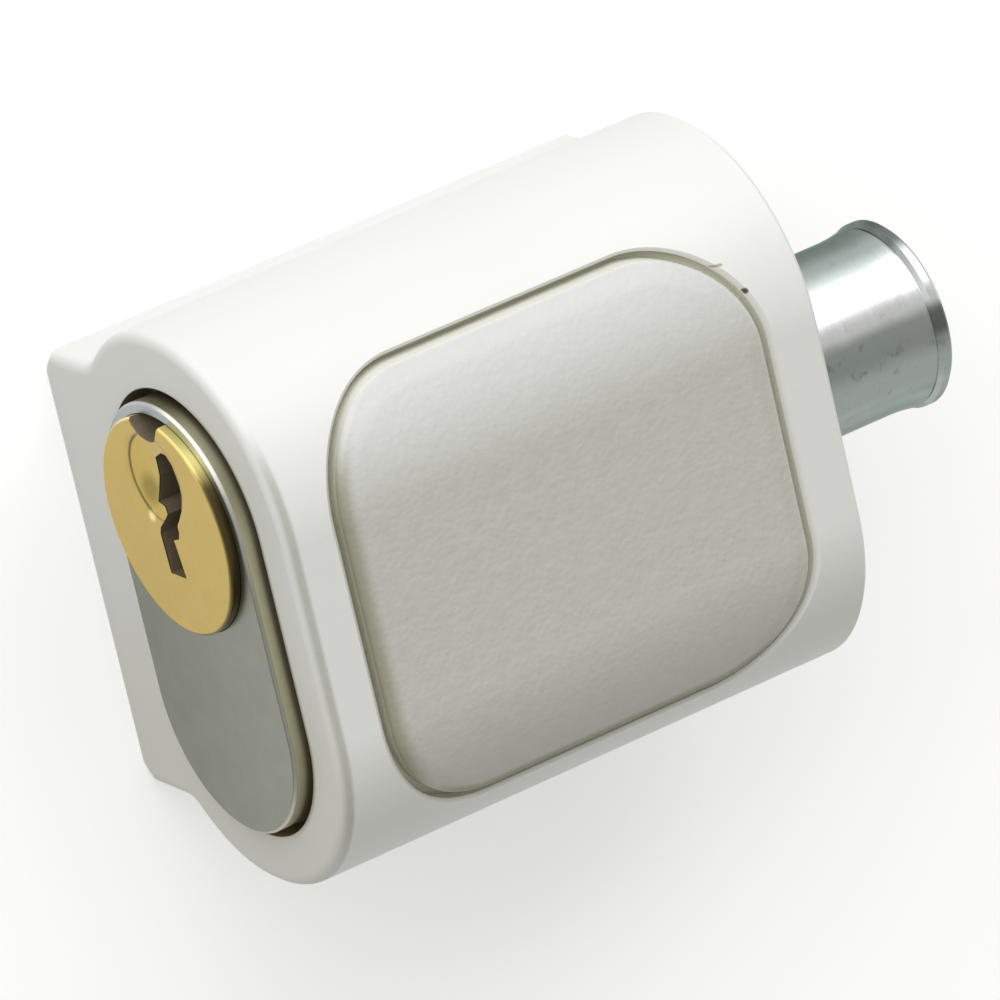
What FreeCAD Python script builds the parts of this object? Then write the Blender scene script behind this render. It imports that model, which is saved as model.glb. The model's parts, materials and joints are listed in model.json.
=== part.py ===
import FreeCAD, Part
import math
import os

os.makedirs("parts", exist_ok=True)

# Surface-mounted push lock for a sliding window, in millimetres.
# X runs along the bolt: the key end faces -X and the bolt leaves at +X.
# Z points out of the mounting face, and Y is across the body, with the plug on the +Y side.
# The origin lies on the mounting face, in the middle of the four fixing holes.

# Housing
housing_length = 43.1
body_half_width = 20.0
body_height = 28.54
lower_radius = 12.26
crown_radius = 12.9
side_flat = 0.64
foot_inset = 3.95
foot_blend_radius = 2.5
foot_edge_bevel = 0.6
key_end_round = 0.8
bolt_end_bevel = 0.3
axis_drop = 12.74
bolt_drop = 0.75
end_wall = 3.0
bolt_hole_gap = 0.33
mouth_gap = 0.6
mouth_depth = 2.5
slide_gap = 0.1
bore_end_gap = 0.2

# Ribbed underside
pocket_roof = 3.1
pocket_corner = 1.2
rib = 2.0
centre_pocket_half_width = 6.5
rim_width = 2.6
side_pocket_half_length = 5.0

# Fixing holes
fixing_pitch_x = 22.0
fixing_cover_margin = 3.8
fixing_hole_radius = 2.0
fixing_head_radius = 3.3
fixing_head_height = 2.4
fixing_head_gap = 0.6

# Cover panel
cover_end_margin = 4.55
cover_side_margin = 4.7
cover_corner = 8.0
cover_groove = 0.55
cover_thickness = 1.4
cover_proud = 0.12
cover_bed = 0.05
cover_edge_round = 0.45
groove_bevel = 0.35
cover_peg_radius = 1.1
cover_peg_length = 1.5
cover_peg_inset_x = 3.0
cover_peg_inset_y = 3.4
peg_gap = 0.1
peg_end_gap = 0.2

# Oval cylinder and its plug
oval_width = 17.2
side_wall = 4.35
cylinder_length = 20.3
cylinder_proud = 1.1
face_chamfer = 0.2
plug_face_radius = 7.8
plug_body_radius = 7.0
plug_proud = 0.78
plug_flange_depth = 1.4
plug_edge_bevel = 0.2
running_gap = 0.05
join_overlap = 0.5
plug_tail = 1.0
clip_groove_width = 0.8
clip_groove_depth = 0.6
clip_thickness = 0.7
clip_overlap = 0.85
clip_mouth_half_angle = 32.0
tang_half_width = 1.5
tang_gap = 0.04

# Keyway, as rows of height, left side and right side from the plug's middle
keyway_rows = [
    (5.6, 1.4, 2.2),
    (5.0, 0.2, 2.8),
    (3.6, 0.0, 3.2),
    (2.9, -0.3, 3.2),
    (1.6, -0.8, 2.6),
    (1.4, 0.0, 2.4),
    (0.9, 0.25, 2.05),
    (0.5, -0.1, 1.7),
    (-0.1, -0.7, 1.7),
    (-0.6, -1.0, 1.45),
    (-0.8, -1.0, 0.7),
    (-3.5, -0.85, 1.2),
]
keyway_end_wall = 1.3
bow_scoop_y = 3.54
bow_scoop_z = -0.03
bow_scoop_radius = 3.15
bow_scoop_step = 0.12
bow_scoop_depth = 0.45
rim_notch_radius = 1.9
rim_notch_out = 0.3
rim_notch_z = 0.15
rim_notch_depth = 2.6

# Pin stacks
pin_count = 5
pin_pitch = 3.25
first_pin = 4.0
pin_radius = 1.4
chamber_gap = 0.05
key_pin_lengths = [4.9, 4.1, 5.5, 3.7, 4.5]
key_pin_tip_radius = 0.5
key_pin_tip_length = 0.9
key_pin_lift = 1.2
driver_length = 5.5
driver_chamfer = 0.15
pin_top_room = 0.2
shear_gap = 0.05
strip_thickness = 0.9
strip_half_width = 1.8
strip_end_wall = 0.9
strip_gap = 0.02
pin_wire = 0.35
pin_spring_turns = 4

# Bolt carrier and its screws
carrier_length = 9.0
clip_room = 1.1
carrier_step_drop = 8.65
carrier_screw_inset = 4.15
carrier_screw_offset = 3.6
carrier_screw_radius = 1.5
carrier_head_radius = 2.6
carrier_screw_reach = 7.0
screw_hole_gap = 0.05
screw_hole_end_gap = 0.5
cross_slot_length = 2.8
cross_slot_width = 0.6
cross_slot_depth = 0.7

# Withdrawing cam and latch
cam_thickness = 2.0
cam_end_gap = 0.15
cam_turn = 90.0
cam_lift = 2.4
cam_pitch_radius = 3.9
cam_lead_angle = 10.0
cam_heel_angle = 12.0
cam_toe_angle = 30.0
cam_steps = 8
cam_hub_radius = 2.85
cam_touch_gap = 0.04
cam_pocket_gap = 0.35
post_radius = 0.9
post_gap = 0.25
latch_thickness = 2.0
latch_half_width = 2.0
latch_gap = 0.08
latch_throw = 2.25
latch_tail = 3.5
latch_ramp_run = 1.3
latch_spring_room = 6.5
latch_wire = 0.4
latch_spring_radius = 1.3
latch_spring_turns = 3
latch_hole_gap = 0.15
latch_end_room = 0.3

# Catch leaf in the housing wall
catch_depth = 2.95
catch_side_gap = 0.6
leaf_thickness = 0.5
leaf_half_width = 2.3
leaf_anchor = 4.0
leaf_anchor_gap = 0.2
leaf_hook = 1.3
leaf_drop = 1.3
leaf_end_gap = 0.1
stake_radius = 0.85
stake_gap = 0.05
stake_stand = 0.4

# Bolt and return spring
travel = 12.0
bolt_radius = 6.42
lip_radius = 6.85
lip_length = 1.15
lip_round = 0.3
lip_stop_gap = 0.85
flare_length = 2.2
flare_radius = 6.65
lip_groove_width = 0.3
lip_groove_radius = 6.5
tip_dish_radius = 4.2
tip_dish_depth = 0.5
spigot_radius = 4.45
spigot_length = 2.5
spigot_gap = 0.04
spigot_end_gap = 0.1
bolt_pin_radius = 1.0
bolt_pin_inset = 1.25
bolt_pin_recess = 0.2
return_wire = 0.9
return_spring_gap = 0.2
return_spring_turns = 5
spring_seat_gap = 0.05
wire_sides = 6

# How far a cutter runs past the face that it opens
past = 1.0

# Places worked out from the sizes above
axis_height = body_height - axis_drop
bolt_height = axis_height - bolt_drop
bulge_height = body_height - crown_radius - side_flat
foot_half_width = body_half_width - foot_inset
cover_half_length = housing_length / 2 - cover_end_margin
cover_half_width = body_half_width - cover_side_margin
oval_height = 2 * (body_half_width - side_wall)
bore_floor = axis_height - oval_width / 2 - slide_gap
pocket_depth = bore_floor - pocket_roof
side_pocket_width = foot_half_width - rim_width - rib - centre_pocket_half_width
fixing_pitch_y = 2 * (cover_half_width - fixing_cover_margin)
fixing_seat = bore_floor - fixing_head_gap - fixing_head_height
key_end = -housing_length / 2
bolt_end = housing_length / 2
cylinder_face = key_end - cylinder_proud
plug_face = cylinder_face - plug_proud
cylinder_end = cylinder_face + cylinder_length
carrier_end = cylinder_end + carrier_length
bore_end = carrier_end + bore_end_gap
cavity_end = bolt_end - end_wall
plug_y = (oval_height - oval_width) / 2
carrier_step = plug_y - carrier_step_drop
carrier_screw_y = carrier_screw_inset - oval_height / 2
shear_y = plug_y - plug_body_radius
cam_start = cylinder_end + clip_room + cam_end_gap
latch_start = cam_start + cam_thickness + cam_end_gap
latch_end = latch_start + latch_thickness
lip_back = bolt_end + travel + lip_stop_gap
bolt_tip = lip_back + lip_length
bore_half_height = oval_height / 2 + slide_gap
channel_floor = oval_height / 2 + catch_depth
channel_start = latch_start - travel - leaf_anchor - leaf_hook
channel_half_width = latch_half_width + catch_side_gap
spring_mean_radius = bolt_radius + return_spring_gap + return_wire / 2
cavity_radius = spring_mean_radius + return_wire / 2 + return_spring_gap
chamber_radius = pin_radius + chamber_gap
strip_top = -oval_height / 2 + strip_thickness
pin_places = [cylinder_face + first_pin + pin_pitch * index for index in range(pin_count)]
UP = FreeCAD.Vector(0, 0, 1)
ALONG = FreeCAD.Vector(1, 0, 0)
ACROSS = FreeCAD.Vector(0, 1, 0)


def vec(x, y, z):
    return FreeCAD.Vector(x, y, z)


def rod_x(radius, start, end, y=0.0, z=axis_height):
    return Part.makeCylinder(radius, end - start, vec(start, y, z), ALONG)


def bolt_rod(radius, start, end):
    return rod_x(radius, start, end, 0.0, bolt_height)


def rod_y(radius, start, end, x, z=axis_height):
    return Part.makeCylinder(radius, end - start, vec(x, start, z), ACROSS)


def rod_z(radius, start, end, x, y):
    return Part.makeCylinder(radius, end - start, vec(x, y, start), UP)


def block(x0, x1, y0, y1, z0, z1):
    return Part.makeBox(x1 - x0, y1 - y0, z1 - z0, vec(x0, y0, z0))


def fuse(shapes):
    whole = shapes[0]
    for shape in shapes[1:]:
        whole = whole.fuse(shape)
    return whole.removeSplitter()


def line(start, end):
    return Part.makeLine(start, end)


def arc(centre, radius, start_angle, end_angle, place):
    """Arc about a centre in a plane; place turns the plane's two coordinates into a point."""
    ends = []
    for angle in (start_angle, (start_angle + end_angle) / 2, end_angle):
        a = math.radians(angle)
        ends.append(place(centre[0] + radius * math.cos(a), centre[1] + radius * math.sin(a)))
    return Part.Arc(ends[0], ends[1], ends[2]).toShape()


def prism(edges, push):
    return Part.Face(Part.Wire(Part.__sortEdges__(edges))).extrude(push)


def outline_solid(points, place, push):
    corners = [place(*point) for point in points]
    return Part.Face(Part.makePolygon(corners + [corners[0]])).extrude(push)


def stadium(start, end, gap):
    """Oval section of the cylinder, widened all round by gap, from start to end along X."""
    radius = oval_width / 2 + gap
    top = rod_x(radius, start, end, plug_y)
    bottom = rod_x(radius, start, end, -plug_y)
    middle = block(start, end, -plug_y, plug_y, axis_height - radius, axis_height + radius)
    return fuse([top, middle, bottom])


def rounded_plate(half_x, half_y, corner, z0, z1, x=0.0, y=0.0):
    """Upright prism of a rectangle with rounded corners."""
    def place(u, v):
        return vec(x + u, y + v, z0)
    u = half_x - corner
    v = half_y - corner
    edges = [
        arc((u, v), corner, 0, 90, place),
        line(place(u, half_y), place(-u, half_y)),
        arc((-u, v), corner, 90, 180, place),
        line(place(-half_x, v), place(-half_x, -v)),
        arc((-u, -v), corner, 180, 270, place),
        line(place(-u, -half_y), place(u, -half_y)),
        arc((u, -v), corner, 270, 360, place),
        line(place(half_x, -v), place(half_x, v)),
    ]
    return prism(edges, vec(0, 0, z1 - z0))


def body_blank():
    """Body over a narrower foot: the section is drawn on the key end and run the whole length."""
    across = foot_half_width + foot_blend_radius - (body_half_width - lower_radius)
    reach = lower_radius + foot_blend_radius
    rise = math.sqrt(reach * reach - across * across)
    turn = math.degrees(math.atan2(rise, across))
    crown_y = body_half_width - crown_radius
    crown_z = body_height - crown_radius
    bottom = foot_half_width - foot_edge_bevel
    edges = [line(vec(key_end, -bottom, 0), vec(key_end, bottom, 0))]
    for side in (1, -1):
        def place(y, z, side=side):
            return vec(key_end, side * y, z)
        blend = (foot_half_width + foot_blend_radius, bulge_height - rise)
        lower = (body_half_width - lower_radius, bulge_height)
        edges.append(line(place(bottom, 0), place(foot_half_width, foot_edge_bevel)))
        edges.append(line(place(foot_half_width, foot_edge_bevel), place(foot_half_width, blend[1])))
        edges.append(arc(blend, foot_blend_radius, 180, 180 - turn, place))
        edges.append(arc(lower, lower_radius, -turn, 0, place))
        edges.append(line(place(body_half_width, bulge_height), place(body_half_width, crown_z)))
        edges.append(arc((crown_y, crown_z), crown_radius, 0, 90, place))
    edges.append(line(vec(key_end, crown_y, body_height), vec(key_end, -crown_y, body_height)))
    blank = prism(edges, vec(housing_length, 0, 0))
    blank = blank.makeFillet(key_end_round, end_rims(blank, key_end))
    return blank.makeChamfer(bolt_end_bevel, end_rims(blank, bolt_end))


def end_rims(blank, x):
    """Edges of an end face, apart from the one on the mounting face."""
    rims = []
    for edge in blank.Edges:
        box = edge.BoundBox
        if max(abs(box.XMin - x), abs(box.XMax - x)) < 1e-6 and box.ZMax > 1e-6:
            rims.append(edge)
    return rims


def crown(offset):
    """Upper part of the body section, moved out by offset, as a long solid."""
    half = body_half_width + offset
    crown_y = body_half_width - crown_radius
    crown_z = body_height - crown_radius
    radius = crown_radius + offset

    def place(y, z):
        return vec(-housing_length, y, z)
    edges = [
        line(place(-half, bulge_height), place(half, bulge_height)),
        line(place(half, bulge_height), place(half, crown_z)),
        arc((crown_y, crown_z), radius, 0, 90, place),
        line(place(crown_y, body_height + offset), place(-crown_y, body_height + offset)),
        arc((-crown_y, crown_z), radius, 90, 180, place),
        line(place(-half, crown_z), place(-half, bulge_height)),
    ]
    return prism(edges, vec(2 * housing_length, 0, 0))


def crown_height(y):
    beyond = max(abs(y) - (body_half_width - crown_radius), 0.0)
    return body_height - crown_radius + math.sqrt(crown_radius * crown_radius - beyond * beyond)


def cover_blank(grow, low, high):
    """Plate bent to the crown, with its plan grown by grow and its faces at offsets low and high."""
    plan = rounded_plate(cover_half_length + grow, cover_half_width + grow, cover_corner + grow,
                         bulge_height, body_height + crown_radius)
    return plan.common(crown(high)).cut(crown(low))


def peg_places():
    x = cover_half_length - cover_peg_inset_x
    y = cover_half_width - cover_peg_inset_y
    return [(x, 0.0), (-x, 0.0), (0.0, y), (0.0, -y)]


def fixing_places():
    places = []
    for x in (-fixing_pitch_x / 2, fixing_pitch_x / 2):
        for y in (-fixing_pitch_y / 2, fixing_pitch_y / 2):
            places.append((x, y))
    return places


def underside_pockets():
    """Cored pockets under the floor, with ribs and hole bosses left between them."""
    pockets = []
    end = bolt_end - rim_width
    length = end - rib / 2
    for side in (-1, 1):
        middle = side * (end - length / 2)
        pockets.append(rounded_plate(length / 2, centre_pocket_half_width, pocket_corner,
                                     -past, pocket_depth, middle, 0))
        y = side * (centre_pocket_half_width + rib + side_pocket_width / 2)
        pockets.append(rounded_plate(side_pocket_half_length, side_pocket_width / 2, pocket_corner,
                                     -past, pocket_depth, 0, y))
    return pockets


def cut_cover_bed(housing):
    """Bed of the cover, with a small bevel round its mouth."""
    housing = housing.cut(cover_blank(cover_groove, -cover_thickness, crown_radius))
    mouth = []
    for edge in housing.Edges:
        middle = edge.valueAt((edge.FirstParameter + edge.LastParameter) / 2)
        over_x = max(abs(middle.x) - (cover_half_length - cover_corner), 0.0)
        over_y = max(abs(middle.y) - (cover_half_width - cover_corner), 0.0)
        on_wall = abs(math.hypot(over_x, over_y) - cover_corner - cover_groove) < 1e-3
        if on_wall and abs(middle.z - crown_height(middle.y)) < 1e-3:
            mouth.append(edge)
    return housing.makeChamfer(groove_bevel, mouth)


def make_housing():
    housing = cut_cover_bed(body_blank())
    tools = [
        stadium(key_end - past, key_end + mouth_depth, mouth_gap),
        stadium(key_end - past, bore_end, slide_gap),
        bolt_rod(cavity_radius, bore_end - past, cavity_end),
        bolt_rod(bolt_radius + bolt_hole_gap, cavity_end - past, bolt_end + past),
        block(channel_start, latch_end + latch_ramp_run, bore_half_height - past, channel_floor,
              axis_height - channel_half_width, axis_height + channel_half_width),
    ]
    for x, y in fixing_places():
        tools.append(rod_z(fixing_hole_radius, -past, fixing_seat + past, x, y))
        tools.append(rod_z(fixing_head_radius, fixing_seat, body_height + past, x, y))
    for x, y in peg_places():
        bed = crown_height(y) - cover_thickness
        depth = cover_peg_length + peg_end_gap
        tools.append(rod_z(cover_peg_radius + peg_gap, bed - depth, bed + past, x, y))
    tools.extend(underside_pockets())
    for tool in tools:
        housing = housing.cut(tool)
    stake_x = channel_start + leaf_anchor_gap + leaf_anchor / 2
    stake_tip = channel_floor - leaf_thickness - stake_stand
    stake = rod_y(stake_radius, stake_tip, channel_floor + join_overlap, stake_x)
    return housing.fuse(stake).removeSplitter()


def make_cover():
    cover = cover_blank(0.0, cover_bed - cover_thickness, cover_proud)
    rims = []
    for edge in cover.Edges:
        middle = edge.valueAt((edge.FirstParameter + edge.LastParameter) / 2)
        over_x = max(abs(middle.x) - (cover_half_length - cover_corner), 0.0)
        over_y = max(abs(middle.y) - (cover_half_width - cover_corner), 0.0)
        on_rim = max(over_x, over_y) > cover_corner - 1e-3 or math.hypot(over_x, over_y) > cover_corner - 1e-3
        high = middle.z > crown_height(middle.y) - 1e-3
        if on_rim and high and edge.BoundBox.ZLength < edge.Length - 1e-3:
            rims.append(edge)
    cover = cover.makeFillet(cover_edge_round, rims)
    for x, y in peg_places():
        bed = crown_height(y) - cover_thickness
        cover = cover.fuse(rod_z(cover_peg_radius, bed - cover_peg_length, bed + cover_thickness / 2, x, y))
    return cover.removeSplitter()


def make_leaf():
    """Spring-steel catch: flat where it is staked, then bent in towards its free end."""
    start = channel_start + leaf_anchor_gap
    bend = start + leaf_anchor
    end = latch_start - leaf_end_gap
    flat = end - leaf_hook
    points = [
        (start, channel_floor),
        (bend, channel_floor),
        (flat, channel_floor - leaf_drop),
        (end, channel_floor - leaf_drop),
        (end, channel_floor - leaf_drop - leaf_thickness),
        (flat, channel_floor - leaf_drop - leaf_thickness),
        (bend, channel_floor - leaf_thickness),
        (start, channel_floor - leaf_thickness),
    ]
    low = axis_height - leaf_half_width
    leaf = outline_solid(points, lambda x, y: vec(x, y, low), vec(0, 0, 2 * leaf_half_width))
    hole_x = channel_start + leaf_anchor_gap + leaf_anchor / 2
    return leaf.cut(rod_y(stake_radius + stake_gap, bore_half_height, channel_floor + past, hole_x))


def strip_slot(gap):
    half = strip_half_width + gap
    return block(cylinder_face + strip_end_wall - gap, cylinder_end + past,
                 -oval_height / 2 - past, strip_top + gap, axis_height - half, axis_height + half)


def carrier_screw_places():
    return [axis_height - carrier_screw_offset, axis_height + carrier_screw_offset]


def make_cylinder():
    blank = stadium(cylinder_face, cylinder_end, 0.0)
    rims = []
    for edge in blank.Edges:
        if edge.BoundBox.XMax < cylinder_face + 1e-6:
            rims.append(edge)
    body = blank.makeChamfer(face_chamfer, rims)
    body = body.cut(rod_x(plug_body_radius + running_gap, cylinder_face - past, cylinder_end + past, plug_y))
    flange_seat = cylinder_face + plug_flange_depth + running_gap
    body = body.cut(rod_x(plug_face_radius + running_gap, cylinder_face - past, flange_seat, plug_y))
    for x in pin_places:
        body = body.cut(rod_y(chamber_radius, -oval_height, plug_y, x))
    body = body.cut(strip_slot(strip_gap))
    for z in carrier_screw_places():
        start = cylinder_end - carrier_screw_reach - screw_hole_end_gap
        radius = carrier_screw_radius + screw_hole_gap
        body = body.cut(rod_x(radius, start, cylinder_end + past, carrier_screw_y, z))
    return body


def make_strip():
    return strip_slot(0.0).common(stadium(cylinder_face, cylinder_end, 0.0))


def keyway_points():
    """Keyway outline across the plug, down its left side and back up its right side."""
    left = [(y, z_left) for y, z_left, z_right in keyway_rows]
    right = [(y, z_right) for y, z_left, z_right in keyway_rows]
    return left + right[::-1]


def bow_scoop():
    """Round scoop where the key's bow comes to rest: a low step, and inside it a shallow bowl."""
    y = plug_y + bow_scoop_y
    z = axis_height + bow_scoop_z
    floor = plug_face + bow_scoop_step
    bowl = bow_scoop_depth - bow_scoop_step
    ball = (bow_scoop_radius ** 2 + bowl ** 2) / (2 * bowl)
    return rod_x(bow_scoop_radius, plug_face - past, floor, y, z).fuse(
        Part.makeSphere(ball, vec(floor + bowl - ball, y, z)))


def make_plug():
    body_end = cylinder_end + plug_tail
    flange_end = cylinder_face + plug_flange_depth
    flange = rod_x(plug_face_radius, plug_face, flange_end, plug_y)
    front = [edge for edge in flange.Edges if edge.BoundBox.XMax < plug_face + 1e-6]
    flange = flange.makeChamfer(plug_edge_bevel, front)
    plug = flange.fuse(rod_x(plug_body_radius, flange_end - join_overlap, body_end, plug_y)).removeSplitter()
    groove_start = cylinder_end + running_gap
    ring = rod_x(plug_body_radius + past, groove_start, groove_start + clip_groove_width, plug_y)
    ring = ring.cut(rod_x(plug_body_radius - clip_groove_depth, groove_start - past,
                          groove_start + clip_groove_width + past, plug_y))
    plug = plug.cut(ring)
    tang = block(body_end - join_overlap, cam_start + cam_thickness, plug_y - tang_half_width,
                 plug_y + tang_half_width, axis_height - tang_half_width, axis_height + tang_half_width)
    plug = plug.fuse(tang)
    slot_end = cylinder_end - keyway_end_wall
    slot = outline_solid(keyway_points(), lambda y, z: vec(plug_face - past, plug_y + y, axis_height + z),
                         vec(slot_end - plug_face + past, 0, 0))
    plug = plug.cut(slot)
    plug = plug.cut(bow_scoop())
    plug = plug.cut(rod_x(rim_notch_radius, plug_face - past, plug_face + rim_notch_depth,
                          plug_y + plug_face_radius + rim_notch_out, axis_height + rim_notch_z))
    for x, length in zip(pin_places, key_pin_lengths):
        top = shear_y + length + key_pin_lift + pin_top_room
        plug = plug.cut(rod_y(chamber_radius, shear_y - past, top, x))
    return plug


def make_clip():
    """Open retaining ring: its mouth is a wedge towards the top of the plug."""
    inner = plug_body_radius - clip_groove_depth + running_gap
    outer = plug_body_radius + clip_overlap
    start = cylinder_end + running_gap * 2
    end = start + clip_thickness
    ring = rod_x(outer, start, end, plug_y)
    ring = ring.cut(rod_x(inner, start - past, end + past, plug_y))
    half = math.radians(clip_mouth_half_angle)
    far = 2 * outer
    across = far * math.sin(half)
    along = far * math.cos(half)
    points = [(0, 0), (across, along), (-across, along)]
    mouth = outline_solid(points, lambda z, y: vec(start - past, plug_y + y, axis_height + z),
                          vec(clip_thickness + 2 * past, 0, 0))
    return ring.cut(mouth)


def cam_rate():
    return cam_lift / cam_turn


def cam_flank_point(angle):
    """Point of the cam's flank: the post's centre path is an even spiral, and the flank lies inside it."""
    a = math.radians(angle)
    radius = cam_pitch_radius + cam_rate() * (180 - angle)
    slope = -cam_rate() * 180 / math.pi
    size = math.hypot(radius, slope)
    normal_y = (radius * math.cos(a) + slope * math.sin(a)) / size
    normal_z = (radius * math.sin(a) - slope * math.cos(a)) / size
    back = post_radius + cam_touch_gap
    y = plug_y + radius * math.cos(a) - back * normal_y
    z = axis_height + radius * math.sin(a) - back * normal_z
    return vec(cam_start, y, z)


def make_cam():
    first = 180 - cam_turn - cam_lead_angle
    last = 180 + cam_lead_angle
    turn = last - first
    flank_points = [cam_flank_point(first + turn * step / cam_steps) for step in range(cam_steps + 1)]
    flank = Part.BSplineCurve()
    flank.interpolate(flank_points)

    def place(y, z):
        return vec(cam_start, plug_y + y, axis_height + z)
    hub_start = last + cam_heel_angle
    hub_end = 360 + first - cam_toe_angle
    hub = arc((0, 0), cam_hub_radius, hub_start, hub_end, place)
    hub_ends = []
    for angle in (hub_start, hub_end):
        a = math.radians(angle)
        hub_ends.append(place(cam_hub_radius * math.cos(a), cam_hub_radius * math.sin(a)))
    edges = [flank.toShape(), line(flank_points[-1], hub_ends[0]), hub, line(hub_ends[1], flank_points[0])]
    cam = prism(edges, vec(cam_thickness, 0, 0))
    half = tang_half_width + tang_gap
    return cam.cut(block(cam_start - past, cam_start + cam_thickness + past, plug_y - half, plug_y + half,
                         axis_height - half, axis_height + half))


def post_y():
    return plug_y - cam_pitch_radius


def latch_nose():
    return oval_height / 2 + latch_throw


def make_latch():
    bottom = -latch_tail
    plate = block(latch_start, latch_end, bottom, latch_nose(),
                  axis_height - latch_half_width, axis_height + latch_half_width)
    ramp = [
        (latch_end + past, latch_nose() - cam_lift),
        (latch_end, latch_nose() - cam_lift),
        (latch_end - latch_ramp_run, latch_nose()),
        (latch_end - latch_ramp_run, latch_nose() + past),
        (latch_end + past, latch_nose() + past),
    ]
    low = axis_height - 2 * latch_half_width
    plate = plate.cut(outline_solid(ramp, lambda x, y: vec(x, y, low), vec(0, 0, 4 * latch_half_width)))
    post = rod_x(post_radius, cam_start + cam_end_gap, latch_start + join_overlap, post_y())
    return plate.fuse(post).removeSplitter()


def make_carrier():
    """Block behind the cylinder, with room for cam, latch and spring, and a seat for the bolt's spigot."""
    carrier = stadium(cylinder_end, carrier_end, 0.0)
    low = cylinder_end - past
    half = oval_width
    carrier = carrier.cut(block(low, cylinder_end + clip_room, carrier_step, oval_height,
                                axis_height - half, axis_height + half))
    pocket_radius = cam_pitch_radius + cam_lift + cam_rate() * cam_lead_angle - post_radius + cam_pocket_gap
    carrier = carrier.cut(rod_x(pocket_radius, low, latch_start, plug_y))
    post_room = post_radius + post_gap
    lowest = post_y() - cam_lift
    carrier = carrier.cut(rod_x(post_room, low, latch_start + join_overlap, lowest))
    carrier = carrier.cut(block(low, latch_start + join_overlap, lowest, plug_y,
                                axis_height - post_room, axis_height + post_room))
    slot_half = latch_half_width + latch_gap
    slot_bottom = -latch_tail - cam_lift - latch_end_room
    carrier = carrier.cut(block(latch_start - latch_gap, latch_end + latch_gap, slot_bottom, oval_height,
                                axis_height - slot_half, axis_height + slot_half))
    middle = (latch_start + latch_end) / 2
    spring_bottom = -latch_tail - latch_spring_room
    hole_radius = latch_spring_radius + latch_wire / 2 + latch_hole_gap
    carrier = carrier.cut(rod_y(hole_radius, spring_bottom, -latch_tail, middle))
    seat = carrier_end - spigot_length - spigot_end_gap
    carrier = carrier.cut(bolt_rod(spigot_radius + spigot_gap, seat, carrier_end + past))
    carrier = carrier.cut(bolt_pin_hole())
    cone_height = carrier_head_radius - carrier_screw_radius
    for z in carrier_screw_places():
        radius = carrier_screw_radius + screw_hole_gap
        carrier = carrier.cut(rod_x(radius, low, carrier_end + past, carrier_screw_y, z))
        carrier = carrier.cut(Part.makeCone(radius, carrier_head_radius + screw_hole_gap, cone_height,
                                            vec(carrier_end - cone_height, carrier_screw_y, z), ALONG))
    return carrier


def make_carrier_screws():
    """Two countersunk screws, each with a cross slot, that hold the carrier to the cylinder."""
    screws = []
    cone_height = carrier_head_radius - carrier_screw_radius
    for z in carrier_screw_places():
        shank = rod_x(carrier_screw_radius, cylinder_end - carrier_screw_reach, carrier_end - cone_height,
                      carrier_screw_y, z)
        head = Part.makeCone(carrier_screw_radius, carrier_head_radius, cone_height,
                             vec(carrier_end - cone_height, carrier_screw_y, z), ALONG)
        screw = shank.fuse(head)
        for y_size, z_size in ((cross_slot_length, cross_slot_width), (cross_slot_width, cross_slot_length)):
            screw = screw.cut(block(carrier_end - cross_slot_depth, carrier_end + past,
                                    carrier_screw_y - y_size / 2, carrier_screw_y + y_size / 2,
                                    z - z_size / 2, z + z_size / 2))
        screws.append(screw)
    return Part.makeCompound(screws)


def bolt_pin_hole():
    return rod_z(bolt_pin_radius + spigot_gap, 0, 2 * axis_height, carrier_end - bolt_pin_inset, 0)


def make_bolt():
    """Turned bolt: a spigot in the carrier, a plain shank, a flared neck and a rounded lip."""
    def at(x, radius):
        return vec(x, 0, bolt_height + radius)
    flare_end = lip_back - lip_groove_width
    flare_start = flare_end - flare_length
    rise = flare_radius - bolt_radius
    flare_middle = at((flare_start + flare_end) / 2, bolt_radius + rise / 4)
    spigot_start = carrier_end - spigot_length
    dish_floor = bolt_tip - tip_dish_depth
    edges = [
        line(at(spigot_start, 0), at(spigot_start, spigot_radius)),
        line(at(spigot_start, spigot_radius), at(carrier_end, spigot_radius)),
        line(at(carrier_end, spigot_radius), at(carrier_end, bolt_radius)),
        line(at(carrier_end, bolt_radius), at(flare_start, bolt_radius)),
        Part.Arc(at(flare_start, bolt_radius), flare_middle, at(flare_end, flare_radius)).toShape(),
        line(at(flare_end, flare_radius), at(flare_end, lip_groove_radius)),
        line(at(flare_end, lip_groove_radius), at(lip_back, lip_groove_radius)),
        line(at(lip_back, lip_groove_radius), at(lip_back, lip_radius - lip_round)),
        line(at(lip_back, lip_radius - lip_round), at(lip_back + lip_round, lip_radius)),
        line(at(lip_back + lip_round, lip_radius), at(bolt_tip - lip_round, lip_radius)),
        line(at(bolt_tip - lip_round, lip_radius), at(bolt_tip, lip_radius - lip_round)),
        line(at(bolt_tip, lip_radius - lip_round), at(bolt_tip, tip_dish_radius)),
        line(at(bolt_tip, tip_dish_radius), at(dish_floor, 0)),
        line(at(dish_floor, 0), at(spigot_start, 0)),
    ]
    face = Part.Face(Part.Wire(Part.__sortEdges__(edges)))
    bolt = face.revolve(vec(0, 0, bolt_height), ALONG, 360)
    return bolt.cut(bolt_pin_hole())


def make_bolt_pin():
    reach = oval_width / 2 - bolt_pin_recess
    return rod_z(bolt_pin_radius, axis_height - reach, axis_height + reach, carrier_end - bolt_pin_inset, 0)


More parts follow.
